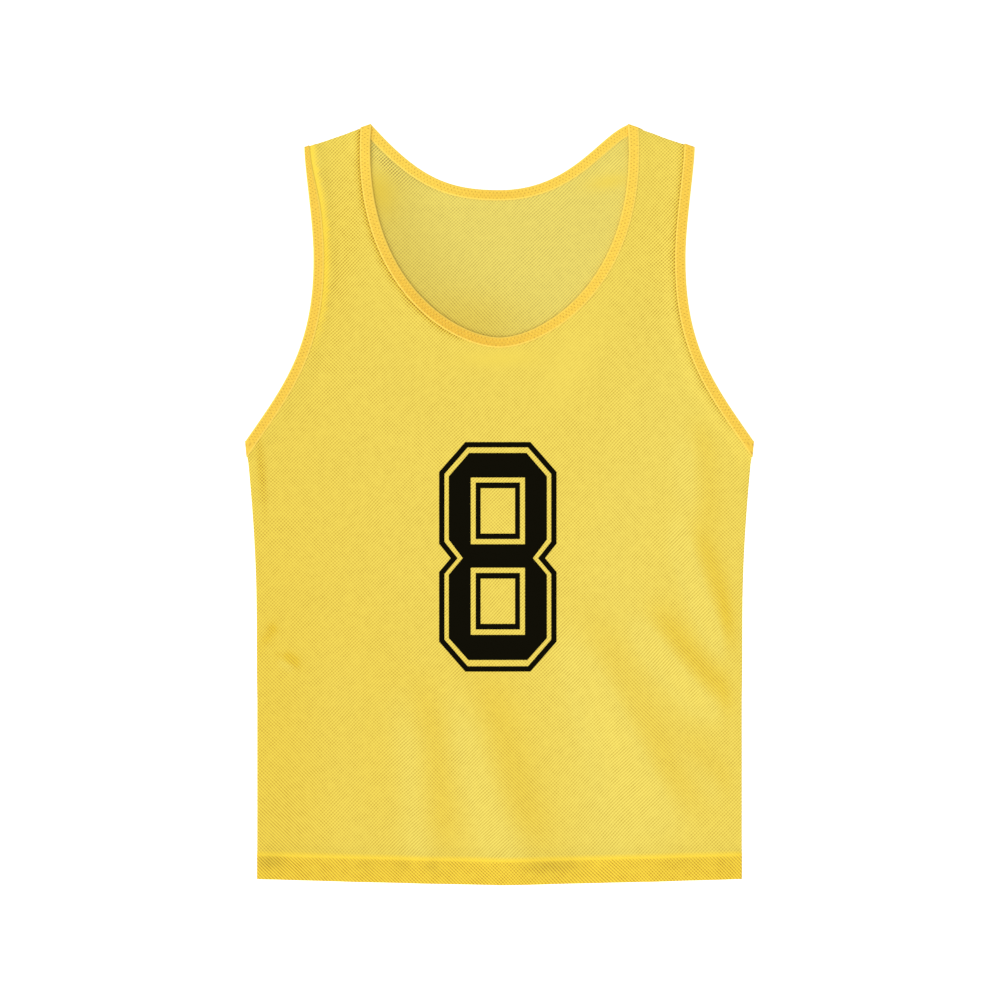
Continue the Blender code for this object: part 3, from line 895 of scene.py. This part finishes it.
def thread_finish(name, colour):
    """Polyester sewing thread, twisted and slightly glossy: fine slanting ridges."""
    finish, tree, shader = finish_on(name, roughness=0.5, sheen=0.05, gloss=0.4)
    place = add(tree, "ShaderNodeTexCoord").outputs["Object"]
    twist = add(
        tree, "ShaderNodeTexWave", {"Vector": place, "Scale": 900.0, "Distortion": 0.5},
        bands_direction="DIAGONAL",
    ).outputs["Fac"]
    shade = add(tree, "ShaderNodeMapRange", {0: twist, "To Min": 0.88, "To Max": 1.0}).outputs[0]
    colour = add(
        tree, "ShaderNodeVectorMath", {0: linear(colour)[:3], "Scale": shade}, operation="SCALE"
    ).outputs[0]
    tree.links.new(colour, shader.inputs["Base Color"])
    bump = add(tree, "ShaderNodeBump", {"Height": twist, "Strength": 0.3, "Distance": 0.00005})
    tree.links.new(bump.outputs[0], shader.inputs["Normal"])
    return finish


THREAD = thread_finish("polyester_sewing_thread", "#F6D750")


def tape_row(edge, height, row, shift):
    """A row of stitch ends along the top of a binding, which starts a shift along it."""
    depth = row * edge.width / BINDING_WIDTH
    line = edge.at(depth)
    clear = 2
    places = np.arange(edge.run[0] + clear + shift, edge.run[-1] - clear, STITCH_LENGTH)
    flat = np.column_stack([np.interp(places, edge.run, part) for part in line.T])
    sunk = 0.1
    return raised(flat, height(flat) + KNIT_THICKNESS / 2 + BINDING_BEND - sunk)


rows = [
    tape_row(edge, front_height, row, shift)
    for edge in (LEFT_ARM, RIGHT_ARM, FRONT_NECK_EDGE)
    for row, shift in zip(STITCH_ROWS, (1.2, 2.8))
]
rows += [
    tape_row(BACK_NECK_EDGE, back_height, row, shift) for row, shift in ((8.3, 0), (2.6, 1))
]
tape_threads = stitches("tape_stitches", rows, THREAD)


# The number: a plain block 8 with an outline, cut from matt black film and pressed on the chest.
# It is thin, follows the cloth below it, and a little of the knit prints through.
NUMBER_CENTRE = (-1.5, -48.5)
# The right halves of its outlines, from the top round to the bottom
OUTER = (
    (29.3, 104.4), (52.8, 77.5), (52.8, 13.0), (42.4, 0.0), (52.8, -12.4), (52.8, -75.1),
    (29.3, -102.0),
)
BODY = (
    (25.8, 94.6), (44.1, 73.5), (44.1, 16.7), (31.5, 0.0), (44.1, -14.9), (44.1, -71.9),
    (26.5, -91.6),
)
STROKE = 4.8
# The windows in the body and their borders: half the width, the top and the bottom of each
COUNTERS = (
    (24.4, 72.5, 12.5), (19.9, 68.0, 17.2), (15.5, 62.9, 22.1),
    (24.4, -8.6, -69.0), (19.9, -13.3, -64.1), (15.5, -18.4, -59.1),
)


def closed(half):
    """A whole outline from its right half."""
    half = np.array(half)
    return np.vstack((half, (half * FLIP)[::-1])) + NUMBER_CENTRE


def inset(outline, depth):
    """An outline moved in by a depth, with its corners kept sharp."""
    ways = [unit(way) for way in np.roll(outline, -1, axis=0) - outline]
    moved = []
    for corner, before, after in zip(outline, ways[-1:] + ways[:-1], ways):
        ins = [np.array((way[1], -way[0])) for way in (before, after)]
        bisector = unit(ins[0] + ins[1])
        moved.append(corner + depth / (bisector @ ins[0]) * bisector)
    return np.array(moved)


def inside(points, outline):
    """Whether each point is inside an outline."""
    found = np.zeros(len(points), bool)
    x, y = points.T
    for (x0, y0), (x1, y1) in zip(outline, np.roll(outline, -1, axis=0)):
        if y0 != y1:
            found ^= ((y0 > y) != (y1 > y)) & (x < (x1 - x0) * (y - y0) / (y1 - y0) + x0)
    return found


def number_film(finish):
    """The film, where a point is inside an odd number of the outlines."""
    outlines = [closed(OUTER), inset(closed(OUTER), STROKE), closed(BODY)]
    outlines += [closed(((half, top), (half, bottom))) for half, top, bottom in COUNTERS]
    lines = []
    for outline in outlines:
        sides = zip(outline, np.roll(outline, -1, axis=0))
        lines.append(joined(*(spaced(np.array(side), PANEL_SPACING) for side in sides)))
    margin = 4
    left, low = outlines[0].min(axis=0) - margin
    right, high = outlines[0].max(axis=0) + margin
    around = np.array(((left, low), (right, low), (right, high), (left, high)))
    flat, faces, _ = triangulated(around, lines, PANEL_SPACING)
    centres = np.array([flat[list(face)].mean(axis=0) for face in faces])
    inked = np.sum([inside(centres, outline) for outline in outlines], axis=0) % 2 == 1
    faces = [face for face, ink in zip(faces, inked) if ink]
    used = sorted({corner for face in faces for corner in face})
    places = {old: new for new, old in enumerate(used)}
    faces = [tuple(places[corner] for corner in face) for face in faces]
    flat = flat[used]
    film, above = 0.12, 0.06
    inner = front_height(flat) + KNIT_THICKNESS + above
    return cloth(
        "number_8", raised(flat, inner + film), raised(flat, inner), faces, (finish,),
        np.zeros((len(flat), 4)),
    )


def heat_film(name, colour):
    """Matt heat-pressed film: nearly black, with the knit's grain faintly pressed into it."""
    finish, tree, shader = finish_on(name, roughness=0.7, sheen=0.0, gloss=0.02)
    shader.inputs["Base Color"].default_value = linear(colour)
    place = add(tree, "ShaderNodeTexCoord").outputs["Object"]
    grain = add(
        tree, "ShaderNodeTexNoise", {"Vector": place, "Scale": 700.0, "Detail": 2.0}
    ).outputs["Fac"]
    bump = add(tree, "ShaderNodeBump", {"Height": grain, "Strength": 0.15, "Distance": 0.0001})
    tree.links.new(bump.outputs[0], shader.inputs["Normal"])
    return finish


number = number_film(heat_film("heat_pressed_film", "#0B0902"))


# The table, the light and the camera: a plain white table, a large soft light from the lower
# left, an even light from all round, and a camera that looks straight down.
def table_finish():
    """Opal acrylic lit from below, as for a cut-out picture: plain white, shadows washed out."""
    finish, tree, shader = finish_on("opal_acrylic", roughness=0.8, sheen=0.0, gloss=0.5)
    shader.inputs["Base Color"].default_value = linear("#F7F7F7")
    shader.inputs["Emission Color"].default_value = linear("#FFFFFF")
    shader.inputs["Emission Strength"].default_value = 0.5
    return finish


bpy.ops.mesh.primitive_plane_add(size=8)
table = bpy.context.object
table.name = "table"
table.data.materials.append(table_finish())

sky_light = bpy.data.lights.new("soft_light", "SUN")
sky_light.angle = np.radians(80)
sky_light.energy = 1.83
lamp = bpy.data.objects.new("soft_light", sky_light)
lamp.rotation_euler = Vector((0.40, 0.36, -0.9)).to_track_quat("-Z", "Y").to_euler()
bpy.context.collection.objects.link(lamp)

world = bpy.data.worlds.new("even_light")
world.use_nodes = True
world.node_tree.nodes["Background"].inputs["Color"].default_value = linear("#FFFFFF")
world.node_tree.nodes["Background"].inputs["Strength"].default_value = 0.78
bpy.context.scene.world = world
bpy.context.scene.view_settings.view_transform = "Standard"

lens = bpy.data.cameras.new("camera")
lens.lens = 85
lens.sensor_width = 36
camera = bpy.data.objects.new("camera", lens)
camera.location = (0.00045, 0.0038, 2.125)
bpy.context.collection.objects.link(camera)
bpy.context.scene.camera = camera
